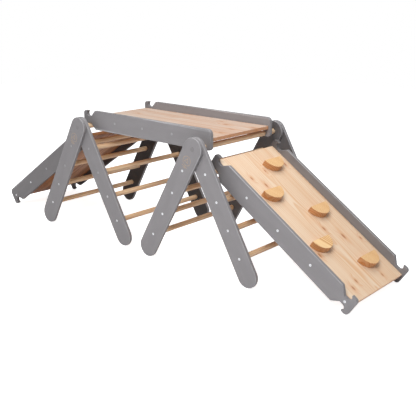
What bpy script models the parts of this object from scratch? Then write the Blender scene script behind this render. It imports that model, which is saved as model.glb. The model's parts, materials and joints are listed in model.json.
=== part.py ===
"""Indoor climbing set for small children: two folding rung frames, a bridge, a slide and a ramp."""

import math

import bmesh
import bpy
from mathutils import Matrix

# Driving dimensions, in metres and radians. X runs along the set, Y across it, Z up.
RUNG_RADIUS = 0.014
PIVOT_TO_RUNG = 0.1285
RUNG_SPACING = 0.14
RUNGS_PER_LADDER = 4
FOOT_REACH = 0.088  # from the lowest rung to the middle of the round foot
SIDE_WIDTH = 0.11
SIDE_THICKNESS = 0.018
HALF_OPENING = math.radians(30)
LADDER_WIDTH = 0.64
FRAME_PITCH = 0.85

RAIL_WIDTH = 0.104
RAIL_THICKNESS = 0.018
DECK_WIDTH = 0.475
BOARD_THICKNESS = 0.018
BOARD_OVERHANG = 0.032

HOOK_CLEARANCE = 0.0008
HOOK_DEPTH = 0.018  # from the rail's edge to the middle of the hooked rung
HOOK_RISE = 0.0145  # from the middle of the hooked rung to the hook's top
HOOK_REACH = 0.043
HOOK_MOUTH = 0.05
HOOK_WRAP = math.radians(40)
HOOK_LEAD_IN = 0.0006
HOOK_ROUNDING = 0.016
MOUTH_ROUNDING = 0.01
NOTCH_ROUNDING = 0.008
PLAIN_END_ROUNDING = 0.024

HOLD_RADIUS = 0.0635
HOLD_THICKNESS = 0.031
HOLD_SPACING = 0.1645
HOLD_OFFSET = 0.092
HOLD_COUNT = 5

CLEARANCE = 0.0003
SIDE_GAP = 0.001
SOCKET_WALL = 0.0075  # wood left behind a rung's end
PLUG_RADIUS = 0.011
PLUG_DEPTH = 0.004
PLUG_STANDOUT = 0.0008
SIDE_ROUNDING = 0.003
RAIL_ROUNDING = 0.002
BOARD_ROUNDING = 0.001
HOLD_ROUNDING = 0.002
ROUND_SIDES = 18
END_STEP = math.radians(15)  # between the corners of a round board end or hold
FILLET_STEP = math.radians(20)
SHARP_ANGLE = math.radians(35)
BEVEL_ANGLE = math.radians(60)

SOCKET_RADIUS = RUNG_RADIUS + CLEARANCE
SOCKET_DEPTH = SIDE_THICKNESS - SOCKET_WALL
SIDE_REACH = PIVOT_TO_RUNG + (RUNGS_PER_LADDER - 1) * RUNG_SPACING + FOOT_REACH
PIVOT_HEIGHT = SIDE_REACH * math.cos(HALF_OPENING) + SIDE_WIDTH / 2
SIDE_Y = (LADDER_WIDTH - SIDE_THICKNESS) / 2
RUNG_HALF_LENGTH = SIDE_Y - SIDE_THICKNESS / 2 + SOCKET_DEPTH - CLEARANCE
STAGGER = SIDE_THICKNESS + SIDE_GAP  # the two ladders interleave, one board apart
MAIN_Y = -STAGGER / 2
FOLDING_Y = STAGGER / 2
RAIL_Y = (DECK_WIDTH - RAIL_THICKNESS) / 2
HOOK_RADIUS = RUNG_RADIUS + HOOK_CLEARANCE
HOOK_DROP = RAIL_WIDTH / 2 - HOOK_DEPTH

# Base colour and roughness.
GREY_PAINT = ((0.28, 0.27, 0.28, 1), 0.55)
PINE = ((0.86, 0.66, 0.45, 1), 0.45)
RUNG_WOOD = ((0.72, 0.45, 0.24, 1), 0.5)
HOLD_WOOD = ((0.70, 0.43, 0.18, 1), 0.5)


def start_scene():
    for existing in list(bpy.data.objects):
        bpy.data.objects.remove(existing, do_unlink=True)
    parts = bpy.data.collections.new("toddler_slide")
    cutters = bpy.data.collections.new("toddler_slide_cutters")
    for collection in (parts, cutters):
        bpy.context.scene.collection.children.link(collection)
    return parts, cutters


def axis_empty(name, x, y, z, turn_y=0.0, turn_z=0.0):
    """An empty on a joint's axis, which runs along the empty's Y."""
    empty = bpy.data.objects.new(name, None)
    empty.empty_display_size = 0.05
    empty.location = (x, y, z)
    empty.rotation_euler = (0, turn_y, turn_z)
    parts.objects.link(empty)
    return empty


def finish_material(name, finish):
    colour, roughness = finish
    material = bpy.data.materials.new(name)
    material.use_nodes = True
    shader = material.node_tree.nodes["Principled BSDF"]
    shader.inputs["Base Color"].default_value = colour
    shader.inputs["Roughness"].default_value = roughness
    shader.inputs["Metallic"].default_value = 0
    return material


def place(name, mesh, parent, x, y, z, finish):
    obj = bpy.data.objects.new(name, mesh)
    obj.parent = parent
    obj.location = (x, y, z)
    mesh.materials.append(finish_material(name + "_finish", finish))
    mesh.shade_smooth()
    mesh.set_sharp_from_angle(angle=SHARP_ANGLE)
    parts.objects.link(obj)
    return obj


def round_edges(obj, width):
    bevel = obj.modifiers.new("rounding", "BEVEL")
    bevel.width = width
    bevel.segments = 2
    bevel.use_clamp_overlap = False
    bevel.limit_method = "ANGLE"
    bevel.angle_limit = BEVEL_ANGLE


def even_triangles(obj):
    """Splits large flat faces into well-shaped triangles, after every other modifier."""
    split = obj.modifiers.new("triangles", "TRIANGULATE")
    split.ngon_method = "BEAUTY"
    split.min_vertices = 5


def cut(obj, cutter):
    boolean = obj.modifiers.new("cut_" + cutter.name, "BOOLEAN")
    boolean.operation = "DIFFERENCE"
    boolean.solver = "EXACT"
    boolean.object = cutter


def cylinder_mesh(name, radius, length):
    """A cylinder lying along Y."""
    shape = bmesh.new()
    bmesh.ops.create_cone(
        shape,
        cap_ends=True,
        segments=ROUND_SIDES,
        radius1=radius,
        radius2=radius,
        depth=length,
        matrix=Matrix.Rotation(math.pi / 2, 4, "X"),
    )
    mesh = bpy.data.meshes.new(name)
    shape.to_mesh(mesh)
    shape.free()
    return mesh


def box_mesh(name, length, width, thickness):
    shape = bmesh.new()
    bmesh.ops.create_cube(shape, size=1, matrix=Matrix.Diagonal((length, width, thickness, 1)))
    mesh = bpy.data.meshes.new(name)
    shape.to_mesh(mesh)
    shape.free()
    return mesh


def arc(centre_x, centre_z, radius, start, end, step=FILLET_STEP):
    """Corners along an arc, in the form that round_corners takes."""
    count = max(1, math.ceil(abs(end - start) / step - 0.01))
    angles = (start + (end - start) * i / count for i in range(count + 1))
    return [(centre_x + radius * math.cos(a), centre_z + radius * math.sin(a), 0) for a in angles]


def round_corners(corners):
    """Outline points of a closed outline whose corners are (x, z, fillet radius)."""
    points = []
    for i, (x, z, radius) in enumerate(corners):
        if radius == 0:
            points.append((x, z))
            continue
        before = corners[i - 1]
        after = corners[(i + 1) % len(corners)]
        heading_in = math.atan2(z - before[1], x - before[0])
        heading_out = math.atan2(after[1] - z, after[0] - x)
        turn = (heading_out - heading_in + math.pi) % (2 * math.pi) - math.pi
        side = math.copysign(math.pi / 2, turn)
        setback = radius * math.tan(abs(turn) / 2)
        start_x = x - setback * math.cos(heading_in)
        start_z = z - setback * math.sin(heading_in)
        centre_x = start_x + radius * math.cos(heading_in + side)
        centre_z = start_z + radius * math.sin(heading_in + side)
        fillet = arc(centre_x, centre_z, radius, heading_in - side, heading_in + turn - side)
        points.extend((px, pz) for px, pz, _ in fillet)
    return points


def plate_mesh(name, outline, thickness):
    """A plate whose outline lies in XZ, centred on Y, from an extruded 2D curve."""
    curve = bpy.data.curves.new(name + "_outline", "CURVE")
    curve.dimensions = "2D"
    curve.fill_mode = "BOTH"
    curve.extrude = thickness / 2
    spline = curve.splines.new("POLY")
    spline.points.add(len(outline) - 1)
    for point, (x, z) in zip(spline.points, outline):
        point.co = (x, z, 0, 1)
    spline.use_cyclic_u = True
    guide = bpy.data.objects.new(name + "_outline", curve)
    parts.objects.link(guide)
    bpy.context.view_layer.update()
    mesh = bpy.data.meshes.new_from_object(guide.evaluated_get(bpy.context.evaluated_depsgraph_get()))
    bpy.data.objects.remove(guide)
    shape = bmesh.new()
    shape.from_mesh(mesh)
    bmesh.ops.remove_doubles(shape, verts=shape.verts, dist=0.00001)
    bmesh.ops.dissolve_limit(shape, angle_limit=math.radians(1), verts=shape.verts, edges=shape.edges)
    bmesh.ops.rotate(shape, verts=shape.verts, matrix=Matrix.Rotation(math.pi / 2, 3, "X"))
    bmesh.ops.recalc_face_normals(shape, faces=shape.faces)
    shape.to_mesh(mesh)
    shape.free()
    mesh.name = name
    return mesh


def hidden_cutter(name, mesh, parent, y, z):
    cutter = bpy.data.objects.new(name, mesh)
    cutter.parent = parent
    cutter.location = (0, y, z)
    cutter.hide_render = True
    cutter.display_type = "WIRE"
    cutters.objects.link(cutter)
    return cutter


def socket_cutter(name, parent, y, length, z, count=1):
    """Bores along Y, one every rung spacing down the side."""
    cutter = hidden_cutter(name, cylinder_mesh(name, SOCKET_RADIUS, length), parent, y, z)
    if count > 1:
        row = cutter.modifiers.new("row", "ARRAY")
        row.count = count
        row.use_relative_offset = False
        row.use_constant_offset = True
        row.constant_offset_displace = (0, 0, -RUNG_SPACING)
    return cutter


def side_outline():
    """A board with fully round ends: the pivot at the origin, the foot down -Z."""
    radius = SIDE_WIDTH / 2
    top = arc(0, 0, radius, 0, math.pi, END_STEP)
    foot = arc(0, -SIDE_REACH, radius, math.pi, 2 * math.pi, END_STEP)
    return [(x, z) for x, z, _ in top + foot]


def ladder_side(name, ladder, face, outermost):
    """One side board, its inner face towards face * Y. The pivot rung ends in an outermost one."""
    centre_y = -face * SIDE_Y
    mesh = plate_mesh(name, side_outline(), SIDE_THICKNESS)
    side = place(name, mesh, ladder, 0, centre_y, 0, GREY_PAINT)
    round_edges(side, SIDE_ROUNDING)
    socket_y = centre_y + face * (SIDE_THICKNESS / 2 - SOCKET_DEPTH / 2 + CLEARANCE)
    socket_length = SOCKET_DEPTH + 2 * CLEARANCE
    first = -PIVOT_TO_RUNG
    cut(side, socket_cutter(name + "_sockets", ladder, socket_y, socket_length, first, RUNGS_PER_LADDER))
    if outermost:
        cut(side, socket_cutter(name + "_pivot_socket", ladder, socket_y, socket_length, 0))
    else:
        cut(side, socket_cutter(name + "_pivot_bore", ladder, centre_y, SIDE_THICKNESS * 2, 0))
    return side


def pivot_plug(name, ladder, side, face):
    """A painted button that covers the pivot screw on the outer face of an outermost side."""
    outer_face = -face * LADDER_WIDTH / 2
    pocket = cylinder_mesh(name + "_pocket", PLUG_RADIUS + CLEARANCE, 2 * PLUG_DEPTH)
    cut(side, hidden_cutter(name + "_pocket", pocket, ladder, outer_face, 0))
    length = PLUG_DEPTH - CLEARANCE + PLUG_STANDOUT
    plug_y = outer_face - face * (PLUG_STANDOUT - length / 2)
    plug = place(name, cylinder_mesh(name, PLUG_RADIUS, length), ladder, 0, plug_y, 0, GREY_PAINT)
    round_edges(plug, PLUG_STANDOUT / 2)


def ladder_rungs(name, ladder):
    for i in range(RUNGS_PER_LADDER):
        rung_name = f"{name}_rung_{i + 1}"
        z = -PIVOT_TO_RUNG - i * RUNG_SPACING
        mesh = cylinder_mesh(rung_name, RUNG_RADIUS, 2 * RUNG_HALF_LENGTH)
        place(rung_name, mesh, ladder, 0, 0, z, RUNG_WOOD)


def folding_frame(frame, x):
    """Two interleaved ladders on one pivot rung: the main one leans to -X, the folding one to +X."""
    main = axis_empty(frame + "_main_axis", x, MAIN_Y, PIVOT_HEIGHT, HALF_OPENING)
    folding = axis_empty(frame + "_folding_axis", x, FOLDING_Y, PIVOT_HEIGHT, -HALF_OPENING)
    near = ladder_side(frame + "_main_side_front", main, 1, True)
    ladder_side(frame + "_main_side_back", main, -1, False)
    ladder_side(frame + "_folding_side_front", folding, 1, False)
    far = ladder_side(frame + "_folding_side_back", folding, -1, True)
    pivot_plug(frame + "_pivot_plug_front", main, near, 1)
    pivot_plug(frame + "_pivot_plug_back", folding, far, -1)
    ladder_rungs(frame + "_main", main)
    ladder_rungs(frame + "_folding", folding)
    pivot_name = frame + "_pivot_rung"
    pivot = cylinder_mesh(pivot_name, RUNG_RADIUS, 2 * RUNG_HALF_LENGTH + STAGGER)
    place(pivot_name, pivot, main, 0, STAGGER / 2, 0, RUNG_WOOD)


def hook_corners():
    """Upper half of a hooked rail end, as (distance past the rung, height over the rail's middle, fillet)."""
    floor = HOOK_DROP - HOOK_RADIUS
    slant = RAIL_WIDTH / 2 - floor
    top = HOOK_DROP + HOOK_RISE
    tip = (HOOK_RADIUS - HOOK_RISE * math.sin(HOOK_WRAP)) / math.cos(HOOK_WRAP)
    return [
        (-HOOK_MOUTH, RAIL_WIDTH / 2, MOUTH_ROUNDING),
        (-HOOK_MOUTH + slant, floor - HOOK_LEAD_IN, NOTCH_ROUNDING),
        *arc(0, HOOK_DROP, HOOK_RADIUS, -math.pi / 2, HOOK_WRAP),
        (tip, top, 0),
        (HOOK_REACH, top, HOOK_ROUNDING),
    ]


def end_corners(hooked_above):
    """A rail end from its upper edge round to its lower edge."""
    lower = [(x, -z, r) for x, z, r in reversed(hook_corners())]
    if hooked_above:
        return hook_corners() + lower
    return [(HOOK_REACH, RAIL_WIDTH / 2, PLAIN_END_ROUNDING)] + lower


def rail_outline(far_end_hooked_above):
    """A rail from the rung it hangs on, at the origin, to the rung distance FRAME_PITCH along +X."""
    far = [(FRAME_PITCH + x, HOOK_DROP + z, r) for x, z, r in end_corners(far_end_hooked_above)]
    near = [(-x, HOOK_DROP + z, r) for x, z, r in reversed(end_corners(True))]
    return round_corners(far + near)


def resting_slope(outline, hook_height):
    """The slope at which a rail hung from a rung at hook_height just reaches the floor."""
    low, high = math.radians(10), math.radians(60)
    for _ in range(40):
        slope = (low + high) / 2
        lowest = hook_height + min(z * math.cos(slope) - x * math.sin(slope) for x, z in outline)
        if lowest > 0:
            low = slope
        else:
            high = slope
    return slope


def deck(name, axis, outline):
    """Two rails with a board between them at mid height."""
    for label, side in (("front", -1), ("back", 1)):
        mesh = plate_mesh(f"{name}_rail_{label}", outline, RAIL_THICKNESS)
        rail = place(mesh.name, mesh, axis, 0, side * RAIL_Y, 0, GREY_PAINT)
        round_edges(rail, RAIL_ROUNDING)
        even_triangles(rail)
    length = FRAME_PITCH + 2 * BOARD_OVERHANG
    width = DECK_WIDTH - 2 * RAIL_THICKNESS - 2 * CLEARANCE
    mesh = box_mesh(name + "_board", length, width, BOARD_THICKNESS)
    board = place(name + "_board", mesh, axis, FRAME_PITCH / 2, 0, HOOK_DROP, PINE)
    round_edges(board, BOARD_ROUNDING)


def hold_outline():
    """A half disc in the plane of the board, its straight edge towards the ramp's top."""
    half = arc(0, 0, HOLD_RADIUS, -math.pi / 2, math.pi / 2, END_STEP)
    return [(x, z) for x, z, _ in half]


def climbing_holds(axis):
    """Half-round blocks in two staggered columns up the ramp."""
    board_top = HOOK_DROP + BOARD_THICKNESS / 2
    for i in range(HOLD_COUNT):
        name = f"ramp_hold_{i + 1}"
        mesh = plate_mesh(name, hold_outline(), HOLD_THICKNESS)
        mesh.transform(Matrix.Rotation(math.pi / 2, 4, "X"))
        x = FRAME_PITCH / 2 + (i - (HOLD_COUNT - 1) / 2) * HOLD_SPACING - HOLD_RADIUS / 2
        y = HOLD_OFFSET if i % 2 == 0 else -HOLD_OFFSET
        z = board_top + CLEARANCE + HOLD_THICKNESS / 2
        hold = place(name, mesh, axis, x, y, z, HOLD_WOOD)
        round_edges(hold, HOLD_ROUNDING)


def reach_along_x(outline, slope):
    return max(x * math.cos(slope) + z * math.sin(slope) for x, z in outline)


parts, cutters = start_scene()

hook_height = PIVOT_HEIGHT - PIVOT_TO_RUNG * math.cos(HALF_OPENING)
hook_offset = PIVOT_TO_RUNG * math.sin(HALF_OPENING)
ramp_outline = rail_outline(True)
plain_outline = rail_outline(False)
ramp_slope = resting_slope(ramp_outline, hook_height)
slide_slope = resting_slope(plain_outline, hook_height)
reach_right = FRAME_PITCH / 2 + hook_offset + reach_along_x(ramp_outline, ramp_slope)
reach_left = FRAME_PITCH / 2 + hook_offset + reach_along_x(plain_outline, slide_slope)
middle_x = (reach_left - reach_right) / 2
left_x = middle_x - FRAME_PITCH / 2
right_x = middle_x + FRAME_PITCH / 2

folding_frame("left", left_x)
folding_frame("right", right_x)
deck("bridge", axis_empty("bridge_axis", left_x, MAIN_Y, PIVOT_HEIGHT), plain_outline)
slide_axis = axis_empty("slide_axis", left_x - hook_offset, MAIN_Y, hook_height, slide_slope, math.pi)
deck("slide", slide_axis, plain_outline)
ramp_axis = axis_empty("ramp_axis", right_x + hook_offset, MAIN_Y, hook_height, ramp_slope)
deck("ramp", ramp_axis, ramp_outline)
climbing_holds(ramp_axis)
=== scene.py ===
import json
import math

import bmesh
import bpy
import numpy as np
from mathutils import Matrix, Vector


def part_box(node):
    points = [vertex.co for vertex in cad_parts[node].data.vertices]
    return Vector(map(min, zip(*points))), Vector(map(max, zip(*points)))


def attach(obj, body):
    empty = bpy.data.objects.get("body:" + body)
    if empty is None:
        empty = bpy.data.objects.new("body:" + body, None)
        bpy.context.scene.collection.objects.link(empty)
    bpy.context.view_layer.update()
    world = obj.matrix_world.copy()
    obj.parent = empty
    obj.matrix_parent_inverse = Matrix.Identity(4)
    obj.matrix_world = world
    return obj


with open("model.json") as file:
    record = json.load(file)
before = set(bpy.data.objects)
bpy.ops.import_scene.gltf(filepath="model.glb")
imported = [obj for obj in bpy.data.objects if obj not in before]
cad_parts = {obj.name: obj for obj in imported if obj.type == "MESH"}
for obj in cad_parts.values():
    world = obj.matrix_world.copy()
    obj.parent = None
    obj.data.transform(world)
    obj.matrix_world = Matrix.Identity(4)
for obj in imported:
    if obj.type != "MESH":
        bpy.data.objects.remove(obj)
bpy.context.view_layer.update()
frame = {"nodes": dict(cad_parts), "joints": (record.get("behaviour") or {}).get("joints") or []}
nodes = frame["nodes"]
joints = {joint["name"]: joint for joint in frame["joints"]}
decks = ("bridge", "slide", "ramp")
frames = ("left", "right")
ladders = ("main", "folding")
faces = ("front", "back")


def middleOf(node):
    low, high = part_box(node)
    return (low + high) / 2


def turnOf(node):
    # the turn about Y that brings local X onto the piece's long direction, sloping down
    points = np.array([v.co for v in nodes[node].data.vertices])[:, (0, 2)]
    along = np.linalg.svd(points - points.mean(0), full_matrices=False)[2][0]
    isLevel = abs(along[1]) <= 0.001
    if along[1] > 0.001 or (isLevel and along[0] < 0):
        along = -along
    return math.atan2(-along[1], along[0])


def placeOf(node, topUp=False):
    # topUp keeps local Z on the upper side, whichever way the piece slopes
    turn = turnOf(node)
    if topUp and math.cos(turn) < 0:
        turn -= math.pi
    return {"at": middleOf(node), "turn": (0, turn, 0)}


def outerFace(node):
    # the outer face's Y, and the way it looks
    low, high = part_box(node)
    return (low.y, Vector((0, -1, 0))) if low.y + high.y < 0 else (high.y, Vector((0, 1, 0)))


def rgb(red, green, blue):
    # screen colour, 0 to 255, to linear
    return tuple(((c / 255 + 0.055) / 1.055) ** 2.4 for c in (red, green, blue)) + (1.0,)


class Shader:
    def __init__(self, name):
        self.material = bpy.data.materials.new(name)
        self.material.use_nodes = True
        self.tree = self.material.node_tree
        self.surface = self.tree.nodes["Principled BSDF"]

    def add(self, kind, **settings):
        made = self.tree.nodes.new("ShaderNode" + kind)
        for key, value in settings.items():
            setattr(made, key, value)
        return made

    def feed(self, socket, value):
        if isinstance(value, bpy.types.NodeSocket):
            self.tree.links.new(value, socket)
        else:
            socket.default_value = value

    def maths(self, operation, *values, clamp=False):
        made = self.add("Math", operation=operation, use_clamp=clamp)
        for socket, value in zip(made.inputs, values):
            self.feed(socket, value)
        return made.outputs[0]

    def fade(self, value, fromMin, fromMax, toMin=0.0, toMax=1.0):
        made = self.add("MapRange", interpolation_type="SMOOTHSTEP")
        for socket, number in zip(made.inputs, (value, fromMin, fromMax, toMin, toMax)):
            self.feed(socket, number)
        return made.outputs[0]

    def split(self, vector):
        made = self.add("SeparateXYZ")
        self.feed(made.inputs[0], vector)
        return made.outputs[:3]

    def join(self, x, y, z):
        made = self.add("CombineXYZ")
        for socket, value in zip(made.inputs, (x, y, z)):
            self.feed(socket, value)
        return made.outputs[0]

    def length(self, x, y):
        squares = self.maths("ADD", self.maths("MULTIPLY", x, x), self.maths("MULTIPLY", y, y))
        return self.maths("SQRT", squares)

    def scaled(self, vector, x, y, z):
        made = self.add("VectorMath", operation="MULTIPLY")
        self.feed(made.inputs[0], vector)
        made.inputs[1].default_value = (x, y, z)
        return made.outputs[0]

    def noise(self, vector, detail=2.0, roughness=0.5):
        made = self.add("TexNoise")
        self.feed(made.inputs["Vector"], vector)
        made.inputs["Scale"].default_value = 1.0
        made.inputs["Detail"].default_value = detail
        made.inputs["Roughness"].default_value = roughness
        return made.outputs[0]

    def chance(self, value):
        made = self.add("TexWhiteNoise", noise_dimensions="1D")
        self.feed(made.inputs["W"], value)
        return made.outputs["Value"]

    def blend(self, factor, first, second):
        made = self.add("Mix", data_type="RGBA")
        self.feed(made.inputs["Factor"], factor)
        for socket, colour in ((made.inputs["A"], first), (made.inputs["B"], second)):
            self.feed(socket, colour)
        return made.outputs["Result"]

    def mixed(self, factor, strength, colour, over):
        return self.blend(self.maths("MULTIPLY", factor, strength), colour, over)

    def bump(self, height, strength, distance):
        made = self.add("Bump")
        made.inputs["Strength"].default_value = strength
        made.inputs["Distance"].default_value = distance
        self.feed(made.inputs["Height"], height)
        self.feed(self.surface.inputs["Normal"], made.outputs[0])

    def local(self, place):
        coordinates = self.add("TexCoord")
        made = self.add("Mapping", vector_type="TEXTURE")
        made.inputs["Location"].default_value = place["at"]
        made.inputs["Rotation"].default_value = place["turn"]
        self.feed(made.inputs[0], coordinates.outputs["Object"])
        return made.outputs[0]


def woodShader(name, place, look):
    # local X runs along the grain; boards are glued from strips side by side in Y
    shader = Shader(name)
    maths, fade = shader.maths, shader.fade
    where = shader.local(place)
    x, y, z = shader.split(where)
    width = look["stripWidth"]
    # each strip has its own number, which sets its tone and where the tree's heart lay under it
    strips = maths("ADD", maths("DIVIDE", y, width), look["seed"])
    strip = maths("FLOOR", strips)
    inStrip = maths("SUBTRACT", maths("FRACT", strips), 0.5)
    tone = shader.chance(strip)
    lean = maths("SUBTRACT", shader.chance(maths("ADD", strip, 40.5)), 0.5)
    depth = maths("MULTIPLY", shader.chance(maths("ADD", strip, 90.5)), look["heartDepth"])

    # a stain round each knot, and the rings bend round it
    knot, halo = 0.0, 0.0
    for along, side, size in look["knots"]:
        dx = maths("DIVIDE", maths("SUBTRACT", x, along), look["knotStretch"])
        dy = maths("SUBTRACT", y, side)
        gap = maths("DIVIDE", shader.length(dx, dy), size)
        knot = maths("MAXIMUM", knot, fade(gap, *look["knotFade"]))
        halo = maths("MAXIMUM", halo, fade(gap, *look["haloFade"]))

    # rings round the heart, pushed about by a slow noise
    wanderPlace = shader.scaled(shader.join(x, y, strip), *look["wanderScale"])
    wander = shader.noise(wanderPlace)
    heart = maths("MULTIPLY", lean, look["heartSpread"])
    offHeart = maths("MULTIPLY", maths("SUBTRACT", inStrip, heart), width)
    radius = shader.length(offHeart, maths("ADD", z, maths("ADD", depth, look["heartBelow"])))
    radius = maths("ADD", radius, maths("MULTIPLY", wander, look["wander"]))
    radius = maths("ADD", radius, maths("MULTIPLY", halo, look["ringGap"] * look["bend"]))
    ring = maths("FRACT", maths("DIVIDE", radius, look["ringGap"]))
    # late wood darkens slowly and ends sharply
    start, peak = look["lateWood"]
    late = maths("MULTIPLY", fade(ring, start, peak), fade(ring, 1.0, peak))
    fibre = shader.noise(shader.scaled(where, *look["fibreScale"]), 3.0, 0.6)
    streak = shader.noise(shader.scaled(where, *look["streakScale"]))

    dark = maths("MULTIPLY", late, look["ringContrast"])
    for kind, value in (("fibre", fibre), ("streak", streak), ("tone", tone)):
        offMiddle = maths("SUBTRACT", value, look[kind + "Middle"])
        dark = maths("ADD", dark, maths("MULTIPLY", offMiddle, look[kind + "Contrast"]))
    dark = maths("MINIMUM", maths("MAXIMUM", dark, 0.0), 1.0)
    colour = shader.blend(dark, look["pale"], look["deep"])
    if look["knots"]:
        colour = shader.mixed(halo, look["haloCover"], colour, look["haloColour"])
        colour = shader.mixed(knot, look["knotCover"], colour, look["knotColour"])
    if look["pinKnots"]:
        # small knots strewn at random, in about two cells of every five
        cells = shader.add("TexVoronoi")
        shader.feed(cells.inputs["Vector"], shader.scaled(where, *look["pinKnotScale"]))
        cells.inputs["Scale"].default_value = 1.0
        chosen = fade(shader.split(cells.outputs["Color"])[0], *look["pinChosen"])
        spot = maths("MULTIPLY", fade(cells.outputs["Distance"], *look["pinFade"]), chosen)
        stain = maths("MULTIPLY", fade(cells.outputs["Distance"], *look["stainFade"]), chosen)
        colour = shader.mixed(stain, look["stainCover"], colour, look["haloColour"])
        colour = shader.mixed(spot, look["pinCover"], colour, look["knotColour"])
    if look["glueLine"]:
        edge = fade(maths("ABSOLUTE", inStrip), 0.5 - look["glueWidth"] / width, 0.5)
        colour = shader.mixed(edge, look["glueLine"], colour, look["deep"])
    # the edges are darker than the top face, partly end grain and partly painted shade, and the
    # underside is darker still with painted shade
    half = look["halfThickness"]
    if look["sideColour"]:
        below = fade(z, half, half - look["sideStart"])
        colour = shader.mixed(below, look["sideCover"], colour, look["sideColour"])
    if look["underShade"]:
        patches = fade(streak, *look["underFade"])
        # painted shade: the underside is darkened, in patches and rings along the grain
        rough = shader.blend(patches, look["underShade"], look["underShadeDeep"])
        rough = shader.blend(late, rough, look["underShadeDeep"])
        below = fade(z, look["underStart"] - half, -half)
        colour = shader.mixed(below, look["underCover"], colour, rough)
    shader.feed(shader.surface.inputs["Base Color"], colour)
    uneven = maths("MULTIPLY", fibre, look["roughnessSpread"])
    shader.feed(shader.surface.inputs["Roughness"], maths("ADD", look["roughness"], uneven))
    shader.surface.inputs["Coat Weight"].default_value = look["varnish"]
    shader.surface.inputs["Coat Roughness"].default_value = look["varnishRoughness"]
    height = maths("ADD", maths("MULTIPLY", fibre, 0.6), maths("MULTIPLY", late, 0.5))
    shader.bump(height, look["bumpStrength"], look["relief"])
    return shader.material


pineLook = {
    # glued strips and the rings in each
    "stripWidth": 0.11, "seed": 0.5, "glueLine": 0.2, "glueWidth": 0.0011,
    "heartDepth": 0.05, "heartBelow": 0.012, "heartSpread": 1.3,
    "ringGap": 0.0085, "lateWood": (0.15, 0.9), "wander": 0.040, "wanderScale": (2.2, 9.0, 7.3),
    # colour, and how much each thing darkens it
    "pale": rgb(232, 208, 182), "deep": rgb(216, 168, 122), "ringContrast": 0.55,
    "fibreContrast": 0.45, "fibreMiddle": 0.5, "fibreScale": (5.0, 420.0, 420.0),
    "streakContrast": 1.1, "streakMiddle": 0.42, "streakScale": (1.3, 46.0, 46.0),
    "toneContrast": 0.35, "toneMiddle": 0.45,
    # knots at set places, and small ones strewn about
    "knots": [], "knotStretch": 2.6, "knotColour": rgb(168, 98, 56), "knotCover": 0.8,
    "knotFade": (1.1, 0.25), "haloColour": rgb(214, 160, 116), "haloCover": 0.5,
    "haloFade": (3.6, 0.6), "bend": 1.6,
    "pinKnots": False, "pinKnotScale": (9.0, 22.0, 22.0), "pinChosen": (0.60, 0.62),
    "pinFade": (0.17, 0.07), "pinCover": 0.85, "stainFade": (0.5, 0.12), "stainCover": 0.3,
    # edges, partly end grain and partly painted shade, and the underside's painted shade
    "halfThickness": 0.009, "sideColour": rgb(196, 132, 80), "sideCover": 0.75, "sideStart": 0.0022,
    "underShade": rgb(224, 164, 112), "underShadeDeep": rgb(172, 108, 62), "underCover": 0.94,
    "underStart": 0.002, "underFade": (0.36, 0.58),
    # finish
    "roughness": 0.39, "roughnessSpread": 0.12, "varnish": 0.22, "varnishRoughness": 0.25,
    "bumpStrength": 0.35, "relief": 0.0003,
}
# each knot: along the board, across it, radius
deckKnots = {
    "ramp": [
        (-0.325, 0.18, 0.006), (-0.32, 0.01, 0.005), (-0.30, -0.115, 0.006), (-0.24, -0.067, 0.007),
        (0.085, 0.023, 0.007), (0.16, 0.096, 0.009), (0.195, -0.148, 0.007), (0.205, 0.19, 0.005),
        (0.375, -0.085, 0.006), (0.396, -0.137, 0.007), (0.41, 0.10, 0.005),
    ],
    "bridge": [
        (-0.34, 0.05, 0.006), (-0.05, -0.06, 0.007), (0.19, 0.16, 0.007), (0.27, 0.10, 0.009),
        (0.375, 0.02, 0.010), (0.40, -0.09, 0.008), (0.44, 0.12, 0.009),
    ],
    "slide": [
        (-0.31, -0.09, 0.009), (-0.18, 0.13, 0.008), (-0.04, -0.02, 0.010), (0.08, -0.16, 0.008),
        (0.14, 0.08, 0.009), (0.24, -0.05, 0.008), (0.31, 0.15, 0.009), (0.38, -0.12, 0.007),
    ],
}
deckTint = {
    "ramp": {},
    "bridge": {
        "pale": rgb(223, 203, 186), "deep": rgb(204, 156, 122), "varnish": 0.45, "streakContrast": 1.7,
    },
    "slide": {"pale": rgb(230, 200, 172), "deep": rgb(210, 158, 114), "streakContrast": 1.3},
}
rungLook = dict(
    pineLook, stripWidth=4.0, ringGap=0.0042, wander=0.012, ringContrast=0.5, glueLine=0.0,
    fibreContrast=0.4, toneContrast=0.0, streakContrast=1.1, pinKnots=True, roughness=0.35,
    pale=rgb(252, 222, 184), deep=rgb(204, 147, 99), knotColour=rgb(120, 62, 32),
    haloColour=rgb(180, 112, 62), sideColour=None, underShade=None,
)
holdLook = dict(
    pineLook, stripWidth=0.5, heartDepth=0.02, heartBelow=0.05, ringGap=0.0075, wander=0.010,
    ringContrast=0.95, glueLine=0.0, fibreContrast=0.35, toneContrast=0.0, streakContrast=0.5,
    pale=rgb(242, 206, 154), deep=rgb(204, 146, 88), sideColour=rgb(176, 104, 52), sideCover=0.7,
    halfThickness=0.0155, roughness=0.40, underShade=None, turn=0.45, count=5,
)


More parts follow.
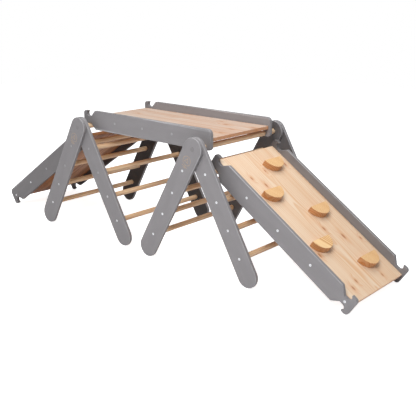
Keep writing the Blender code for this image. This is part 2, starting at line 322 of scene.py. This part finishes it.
paintLook = {
    # dark is the colour of all the painted shade on the paint
    "colour": rgb(137, 134, 136), "cloud": rgb(133, 130, 132), "dark": rgb(44, 38, 35),
    "grainScale": (7.0, 300.0, 300.0), "peelScale": (620.0, 620.0, 620.0),
    "cloudScale": (6.0, 24.0, 24.0), "grainContrast": 0.7, "bumpStrength": 0.25, "relief": 0.0004,
    # the lighter edge colour is a painted highlight; the same edges are also a little glossier
    "roughness": 0.43, "roughnessSpread": 0.10, "edgeHighlightColour": rgb(186, 186, 189), "edgeHighlightCover": 0.6,
    "edgeGloss": 0.18, "edge": 0.003, "thickness": 0.018, "sideWidth": 0.11, "sideSpan": 0.318,
    "railWidth": 0.104, "railReach": 0.468, "hookLength": 0.11, "noRim": 1.0,
    # painted shade: how far the dark tone covers the face towards the middle, the whole piece, the
    # hooked end; the plugs are a little darker all over
    "inner": {"left": 0.90, "right": 0.62, "bridge": 0.0, "slide": 0.8, "ramp": 0.16},
    "wholeShade": {"left": 0.05, "right": 0.0, "bridge": 0.0, "slide": 0.34, "ramp": 0.02},
    "hooked": {"left": 0.0, "right": 0.0, "bridge": 0.25, "slide": 0.3, "ramp": 0.6}, "plug": 0.12,
}


def paintShader(node, halfSpan, halfWidth):
    # halfSpan reaches to the centre of a round end, halfWidth is across the board in local Z
    look = paintLook
    shader = Shader(node + "_paint")
    maths, fade = shader.maths, shader.fade
    where = shader.local(placeOf(node))
    x, y, z = shader.split(where)
    family = node.split("_")[0]
    grain = shader.noise(shader.scaled(where, *look["grainScale"]), 3.0, 0.6)
    peel = shader.noise(shader.scaled(where, *look["peelScale"]))
    clouds = shader.noise(shader.scaled(where, *look["cloudScale"]), 3.0, 0.55)
    pastEnd = maths("MAXIMUM", maths("SUBTRACT", maths("ABSOLUTE", x), halfSpan), 0.0)
    fromRim = maths("SUBTRACT", halfWidth, shader.length(pastEnd, z))
    fromFace = maths("SUBTRACT", look["thickness"] / 2, maths("ABSOLUTE", y))
    # painted highlight: a lighter line along the rounded edges, in cloudy patches
    edgeHighlight = fade(clouds, 0.30, 0.55, 0.35, 1.0)
    for distance in (fromRim, fromFace):
        edgeHighlight = maths("MULTIPLY", edgeHighlight, fade(distance, look["edge"], 0.4 * look["edge"]))
    streaks = maths("MULTIPLY", maths("SUBTRACT", grain, 0.5), look["grainContrast"])
    shade = maths("ADD", fade(clouds, 0.35, 0.65), streaks, clamp=True)
    colour = shader.blend(shade, look["colour"], look["cloud"])
    colour = shader.mixed(edgeHighlight, look["edgeHighlightCover"], colour, look["edgeHighlightColour"])
    # painted shade: faces towards the middle of the set are darkened, more on the left frame than the
    # right
    inward = -outerFace(node)[1].y
    depth = look["thickness"] / 2
    insideShade = fade(maths("MULTIPLY", y, inward), depth - look["edge"] / 2, depth)
    insideShade = maths("MULTIPLY", insideShade, fade(grain, 0.1, 0.9, 0.85, 1.0))
    colour = shader.mixed(insideShade, look["inner"][family], colour, look["dark"])
    # painted shade: the rails darken towards their hooked ends
    hook = fade(x, look["hookLength"] - look["railReach"], -look["railReach"])
    colour = shader.mixed(hook, look["hooked"][family], colour, look["dark"])
    # painted shade: whole pieces are darker, the slide's rails most; the plugs are a little darker
    wholeShade = look["plug"] if "plug" in node else look["wholeShade"][family]
    colour = shader.blend(wholeShade, colour, look["dark"])
    shader.feed(shader.surface.inputs["Base Color"], colour)
    rough = maths("ADD", look["roughness"], maths("MULTIPLY", grain, look["roughnessSpread"]))
    rough = maths("SUBTRACT", rough, maths("MULTIPLY", edgeHighlight, look["edgeGloss"]))
    shader.feed(shader.surface.inputs["Roughness"], rough)
    height = maths("ADD", maths("MULTIPLY", grain, 0.8), maths("MULTIPLY", peel, 0.35))
    shader.bump(height, look["bumpStrength"], look["relief"])
    return shader.material


def cover(node, material):
    nodes[node].data.materials.clear()
    nodes[node].data.materials.append(material)


for side in frames:
    for face in faces:
        for ladder in ladders:
            board = f"{side}_{ladder}_side_{face}"
            cover(board, paintShader(board, paintLook["sideSpan"], paintLook["sideWidth"] / 2))
        plug = f"{side}_pivot_plug_{face}"
        cover(plug, paintShader(plug, paintLook["noRim"], paintLook["noRim"]))
for deck in decks:
    for face in faces:
        rail = f"{deck}_rail_{face}"
        cover(rail, paintShader(rail, paintLook["noRim"], paintLook["railWidth"] / 2))
print("paint done")

for number, deck in enumerate(decks):
    look = dict(pineLook, knots=deckKnots[deck], seed=7.5 + 11 * number, **deckTint[deck])
    place = placeOf(deck + "_board", topUp=True)
    cover(deck + "_board", woodShader(deck + "_pine", place, look))
# the rungs lie along Y
rungPlace = {"at": Vector((0.0, 0.0, 0.2)), "turn": (0, 0, math.pi / 2)}
rungWood = woodShader("rung_wood", rungPlace, rungLook)
for node in nodes:
    if "_rung" in node:
        cover(node, rungWood)
holdTurn = Matrix.Rotation(turnOf("ramp_board"), 3, "Y") @ Matrix.Rotation(holdLook["turn"], 3, "Z")
for number in range(1, holdLook["count"] + 1):
    hold = f"ramp_hold_{number}"
    place = {"at": middleOf(hold), "turn": holdTurn.to_euler()}
    cover(hold, woodShader(f"hold_wood_{number}", place, dict(holdLook, seed=3.5 + 5 * number)))
print("wood done")


screw = {
    "radius": 0.0060, "rise": 0.0008, "sink": 0.0012, "socket": 0.0024, "socketDepth": 0.0006,
    "lip": 0.0001, "around": 24, "sharp": 40, "rungs": 4,
    "gap": 0.2125, "perRail": {"bridge": 3, "slide": 4, "ramp": 4},
    "zinc": (rgb(252, 252, 254), rgb(226, 228, 233)),
    "painted": (rgb(172, 171, 174), rgb(154, 152, 155)), "bareBelow": 0.19, "paintedAbove": 0.31,
    "brush": 900.0, "metallic": 0.15,
    "finish": {
        "left": "painted", "right": "zinc", "bridge": "painted", "slide": "painted", "ramp": "zinc",
    },
}


def screwShader(name):
    shader = Shader(name + "_screw")
    where = shader.add("TexCoord").outputs["Object"]
    brushed = shader.noise(shader.scaled(where, *[screw["brush"]] * 3), 2.0, 0.6)
    colour = shader.blend(brushed, *screw[name])
    if name == "painted":
        # the low heads are bare zinc, the higher ones painted over
        worn = shader.fade(shader.split(where)[2], screw["paintedAbove"], screw["bareBelow"])
        colour = shader.blend(worn, colour, shader.blend(brushed, *screw["zinc"]))
    shader.feed(shader.surface.inputs["Base Color"], colour)
    shader.surface.inputs["Metallic"].default_value = screw["metallic"]
    shader.feed(shader.surface.inputs["Roughness"], shader.fade(brushed, 0.2, 0.8, 0.25, 0.45))
    return shader.material


def screwHead(shape, point, outward):
    # a low domed head with a six-sided socket
    turn = Vector((0, 0, 1)).rotation_difference(outward).to_matrix().to_4x4()
    move = Matrix.Translation(point) @ turn
    radius, rise, socket, around = screw["radius"], screw["rise"], screw["socket"], screw["around"]
    # reach from the middle, height over the face, whether the loop has six sides
    profile = [
        (radius, -screw["sink"], False), (radius, rise * 0.35, False),
        (radius * 0.86, rise * 0.85, False), (socket * 1.15, rise, False),
        (socket, rise - screw["lip"], True), (socket * 0.96, -screw["socketDepth"], True),
    ]
    loops = []
    for reach, height, sixSided in profile:
        loop = []
        for i in range(around):
            angle = 2 * math.pi * i / around
            flat = math.cos(math.pi / 6) / math.cos(angle % (math.pi / 3) - math.pi / 6)
            out = reach * flat if sixSided else reach
            spot = Vector((out * math.cos(angle), out * math.sin(angle), height))
            loop.append(shape.verts.new(move @ spot))
        loops.append(loop)
    for lower, upper in zip(loops, loops[1:]):
        for i in range(around):
            j = (i + 1) % around
            shape.faces.new((lower[i], lower[j], upper[j], upper[i]))
    shape.faces.new(loops[0][::-1])
    shape.faces.new(loops[-1])


def meshPiece(name, shape, material, body):
    bmesh.ops.recalc_face_normals(shape, faces=shape.faces)
    mesh = bpy.data.meshes.new(name)
    shape.to_mesh(mesh)
    shape.free()
    mesh.materials.append(material)
    mesh.shade_smooth()
    mesh.set_sharp_from_angle(angle=math.radians(screw["sharp"]))
    piece = bpy.data.objects.new(name, mesh)
    bpy.context.scene.collection.objects.link(piece)
    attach(piece, body)


def screwPiece(name, body, heads, material):
    shape = bmesh.new()
    for point, outward in heads:
        screwHead(shape, point, outward)
    meshPiece(name, shape, material, body)


screwMetal = {name: screwShader(name) for name in ("zinc", "painted")}
for side in frames:
    for ladder in ladders:
        heads = []
        for face in faces:
            y, outward = outerFace(f"{side}_{ladder}_side_{face}")
            for number in range(1, screw["rungs"] + 1):
                centre = middleOf(f"{side}_{ladder}_rung_{number}")
                heads.append((Vector((centre.x, y, centre.z)), outward))
        finish = screwMetal[screw["finish"][side]]
        screwPiece(f"{side}_{ladder}_screws", f"{side}_{ladder}_ladder", heads, finish)
pitch = joints["right_fold"]["pos_m"][0] - joints["left_fold"]["pos_m"][0]
for deck in decks:
    # counted from the hooked end, one pitch long
    place = placeOf(deck + "_board")
    along = Matrix.Rotation(place["turn"][1], 3, "Y") @ Vector((1, 0, 0))
    heads = []
    for face in faces:
        y, outward = outerFace(f"{deck}_rail_{face}")
        for number in range(1, screw["perRail"][deck] + 1):
            point = place["at"] + along * (number * screw["gap"] - pitch / 2)
            heads.append((Vector((point.x, y, point.z)), outward))
    screwPiece(deck + "_screws", deck, heads, screwMetal[screw["finish"][deck]])
print("screws done")


# a thin ring round a three-sided hill, over two bars
emblem = {
    "radius": 0.025, "line": 0.0026, "rise": 0.0003, "sink": 0.0003, "fromPivot": 0.068,
    "hill": 0.016, "bar": 0.036, "barGap": 0.0066, "bars": 2, "around": 40,
    "gilt": rgb(186, 158, 130), "worn": rgb(156, 145, 138), "wear": 260.0, "metallic": 0.2,
}


def emblemShader():
    shader = Shader("gilt")
    where = shader.add("TexCoord").outputs["Object"]
    worn = shader.noise(shader.scaled(where, *[emblem["wear"]] * 3), 3.0, 0.6)
    colour = shader.blend(shader.fade(worn, 0.42, 0.62), emblem["gilt"], emblem["worn"])
    shader.feed(shader.surface.inputs["Base Color"], colour)
    shader.surface.inputs["Metallic"].default_value = emblem["metallic"]
    shader.feed(shader.surface.inputs["Roughness"], shader.fade(worn, 0.2, 0.8, 0.38, 0.6))
    return shader.material


def evenSided(radius, count, turn=0.0):
    angles = [turn + 2 * math.pi * i / count for i in range(count)]
    return [(radius * math.cos(a), radius * math.sin(a)) for a in angles]


def band(shape, inner, outer, move):
    # a closed band between two outlines of the same count
    def loop(outline, height):
        return [shape.verts.new(move @ Vector((px, py, height))) for px, py in outline]

    low, top = [[loop(inner, z), loop(outer, z)] for z in (-emblem["sink"], emblem["rise"])]
    for i in range(len(inner)):
        j = (i + 1) % len(inner)
        shape.faces.new((top[0][i], top[0][j], top[1][j], top[1][i]))
        shape.faces.new((low[0][i], low[1][i], low[1][j], low[0][j]))
        shape.faces.new((top[1][i], top[1][j], low[1][j], low[1][i]))
        shape.faces.new((top[0][j], top[0][i], low[0][i], low[0][j]))


def bar(shape, halfLength, centre, move):
    size = (2 * halfLength, emblem["line"], emblem["rise"] + emblem["sink"])
    middle = Matrix.Translation((0, centre, (emblem["rise"] - emblem["sink"]) / 2))
    bmesh.ops.create_cube(shape, size=1, matrix=move @ middle @ Matrix.Diagonal((*size, 1)))


gilt = emblemShader()
for side in frames:
    board = side + "_main_side_front"
    pivot = Vector(joints[side + "_fold"]["pos_m"])
    foot = middleOf(board) - pivot
    down = Vector((foot.x, 0, foot.z)).normalized()
    y, outward = outerFace(board)
    centre = pivot + down * emblem["fromPivot"]
    centre.y = y
    # local Y points up the board, local Z out of its face
    turn = Matrix(((-down).cross(outward), -down, outward)).transposed()
    move = Matrix.Translation(centre) @ turn.to_4x4()
    shape = bmesh.new()
    ringIn = evenSided(emblem["radius"] - emblem["line"], emblem["around"])
    band(shape, ringIn, evenSided(emblem["radius"], emblem["around"]), move)
    hillIn = evenSided(emblem["hill"] - 2 * emblem["line"], 3, math.pi / 2)
    band(shape, hillIn, evenSided(emblem["hill"], 3, math.pi / 2), move)
    for row in range(1, emblem["bars"] + 1):
        bar(shape, emblem["bar"] / (2 * row), -emblem["radius"] - row * emblem["barGap"], move)
    meshPiece(side + "_emblem", shape, gilt, side + "_main_ladder")
print("emblems done")


studio = {
    "floorSize": 14.0, "floorDrop": 0.0005, "floorGlow": 0.86, "floorRoughness": 0.9, "speckle": 30.0,
    "paper": rgb(246, 246, 247), "paperShade": rgb(241, 241, 243),
    "ambient": 0.30, "backdrop": 1.0, "lampsFace": (0, 0, 0.35),
}

bpy.ops.mesh.primitive_plane_add(size=studio["floorSize"], location=(0, 0, -studio["floorDrop"]))
floor = bpy.context.object
floor.name = "studio_floor"
shader = Shader("studio_floor")
where = shader.add("TexCoord").outputs["Object"]
speckle = shader.noise(shader.scaled(where, *[studio["speckle"]] * 3), 3.0, 0.5)
white = shader.blend(speckle, studio["paper"], studio["paperShade"])
shader.feed(shader.surface.inputs["Base Color"], white)
shader.surface.inputs["Roughness"].default_value = studio["floorRoughness"]
seen = shader.add("LightPath").outputs["Is Camera Ray"]
glow = shader.maths("MULTIPLY", seen, studio["floorGlow"])
shader.surface.inputs["Emission Color"].default_value = (1, 1, 1, 1)
shader.feed(shader.surface.inputs["Emission Strength"], glow)
floor.data.materials.append(shader.material)

world = bpy.data.worlds.new("studio")
bpy.context.scene.world = world
world.use_nodes = True
background = world.node_tree.nodes["Background"]
background.inputs["Color"].default_value = (1, 1, 1, 1)
path = world.node_tree.nodes.new("ShaderNodeLightPath")
level = world.node_tree.nodes.new("ShaderNodeMapRange")
level.inputs["To Min"].default_value = studio["ambient"]
level.inputs["To Max"].default_value = studio["backdrop"]
world.node_tree.links.new(path.outputs["Is Camera Ray"], level.inputs["Value"])
world.node_tree.links.new(level.outputs[0], background.inputs["Strength"])

lamps = {
    "key": {"at": (1.6, -2.6, 3.1), "size": 1.6, "power": 105},
    "top": {"at": (0.3, 0.4, 3.6), "size": 2.4, "power": 62},
    "fill": {"at": (-2.8, -2.4, 1.8), "size": 2.0, "power": 18},
}
for name, lamp in lamps.items():
    light = bpy.data.lights.new(name, "AREA")
    light.size = lamp["size"]
    light.energy = lamp["power"]
    holder = bpy.data.objects.new(name, light)
    holder.location = lamp["at"]
    towards = Vector(studio["lampsFace"]) - holder.location
    holder.rotation_euler = towards.to_track_quat("-Z", "Y").to_euler()
    bpy.context.scene.collection.objects.link(holder)

cameraLook = {
    "at": (2.5258, -2.5623, 1.2661), "heading": 41.88, "down": 17.07, "lens": 58.62, "sensor": 36,
}
camera = bpy.data.objects.new("camera", bpy.data.cameras.new("camera"))
camera.location = cameraLook["at"]
tilt, heading = math.radians(90 - cameraLook["down"]), math.radians(cameraLook["heading"])
camera.rotation_euler = (tilt, 0, heading)
camera.data.lens = cameraLook["lens"]
camera.data.sensor_width = cameraLook["sensor"]
bpy.context.scene.collection.objects.link(camera)
bpy.context.scene.camera = camera
bpy.context.scene.view_settings.view_transform = "Standard"
print("studio done")
